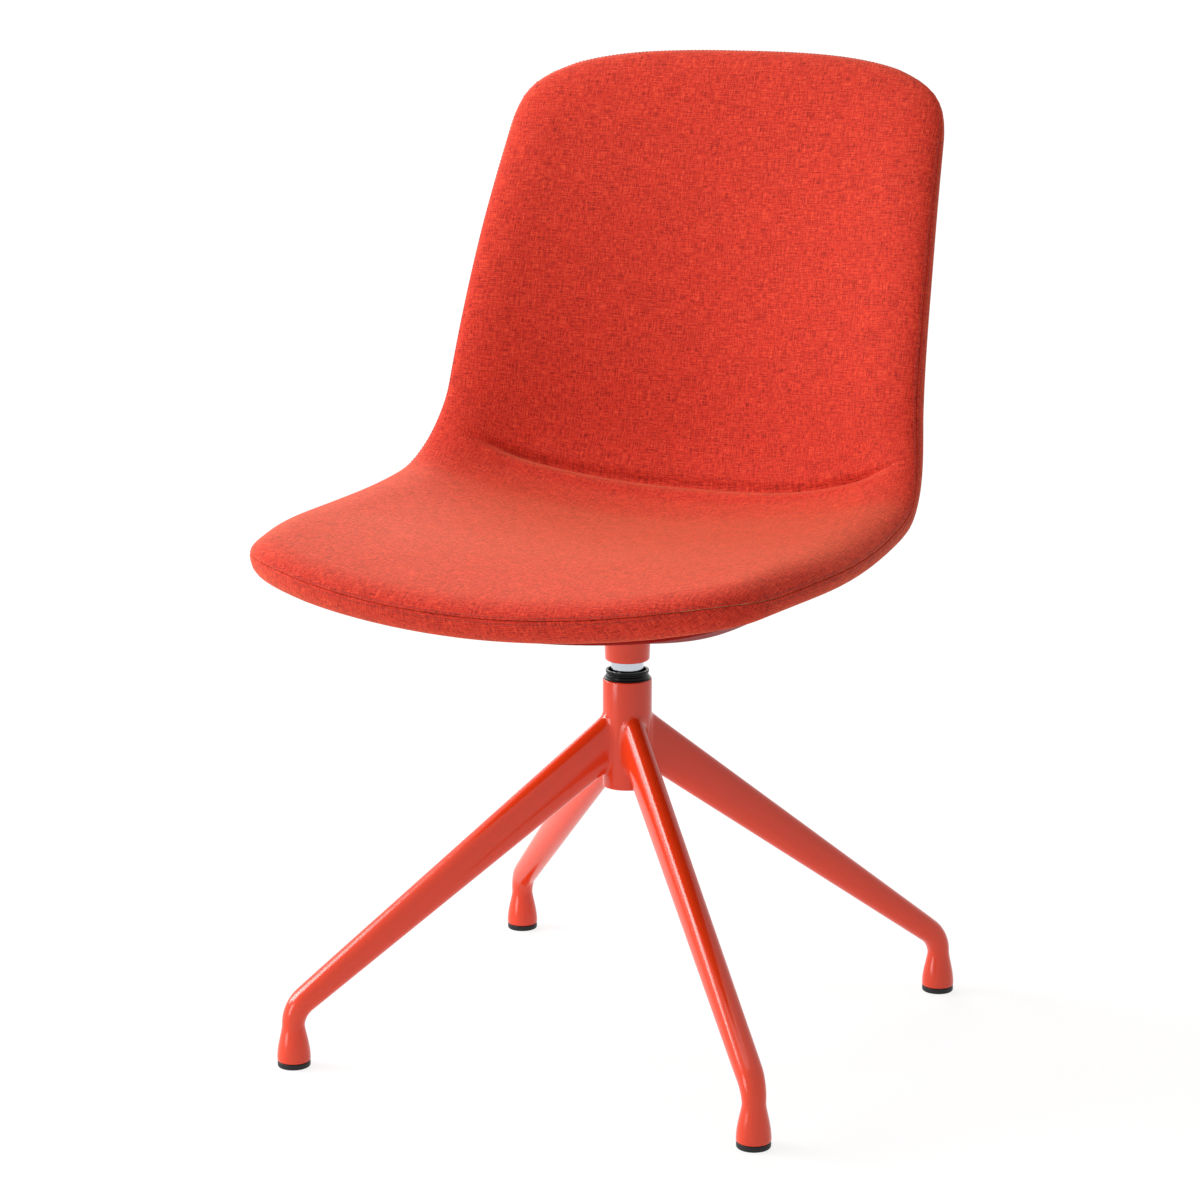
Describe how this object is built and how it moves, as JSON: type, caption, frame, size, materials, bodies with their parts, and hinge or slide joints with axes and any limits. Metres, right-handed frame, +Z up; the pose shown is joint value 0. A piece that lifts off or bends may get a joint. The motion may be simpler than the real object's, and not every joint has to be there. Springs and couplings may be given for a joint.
{
  "type": "swivel chair",
  "caption": "Upholstered one-piece seat and back shell that swivels on a painted steel pedestal with splayed tubular legs and floor glides",
  "frame": {"origin": "on the floor, on the axis of the column that the seat turns about", "axes": "+Z up along the swivel axis, -Y towards the front of the seat at rest, +X towards the right as seen from in front of the chair"},
  "size_m": [0.4956, 0.5453, 0.8384],
  "materials": {
    "painted_steel": "orange-red powder coat, satin gloss",
    "glide_plastic": "black moulded plastic",
    "black_plastic": "black moulded plastic",
    "bearing_plastic": "ivory bearing plastic",
    "spindle_chrome": "polished chrome plate",
    "zinc_steel": "bright zinc-plated steel",
    "insert_brass": "turned brass",
    "shell_plastic": "moulded polypropylene",
    "foam": "cut polyurethane foam",
    "fabric": "orange-red melange wool weave",
    "cover_plastic": "dark red moulded plastic"
  },
  "bodies": {
    "base": {"column_tube": "painted_steel", "leg_front_left": "painted_steel", "leg_front_right": "painted_steel", "leg_rear_left": "painted_steel", "leg_rear_right": "painted_steel", "glide_front_left": "glide_plastic", "glide_front_right": "glide_plastic", "glide_rear_left": "glide_plastic", "glide_rear_right": "glide_plastic", "column_plug": "black_plastic", "bearing_plate": "zinc_steel", "thrust_washer": "bearing_plastic", "lower_bush": "bearing_plastic", "upper_bush": "black_plastic"},
    "seat": {"spindle": "spindle_chrome", "retaining_washer": "zinc_steel", "retaining_bolt": "zinc_steel", "spindle_collar": "painted_steel", "mounting_plate": "zinc_steel", "plate_bolts": "zinc_steel", "spring_washers": "zinc_steel", "threaded_inserts": "insert_brass", "seat_shell": "shell_plastic", "foam_pad": "foam", "front_cover": "fabric", "back_cover": "fabric", "underseat_cover": "cover_plastic", "cover_screws": "black_plastic"}
  },
  "joints": [
    {"name": "seat_swivel", "type": "hinge", "parent": "base", "child": "seat", "pos_m": [0, 0, 0.3], "axis": [0, 0, 1], "continuous": true}
  ]
}
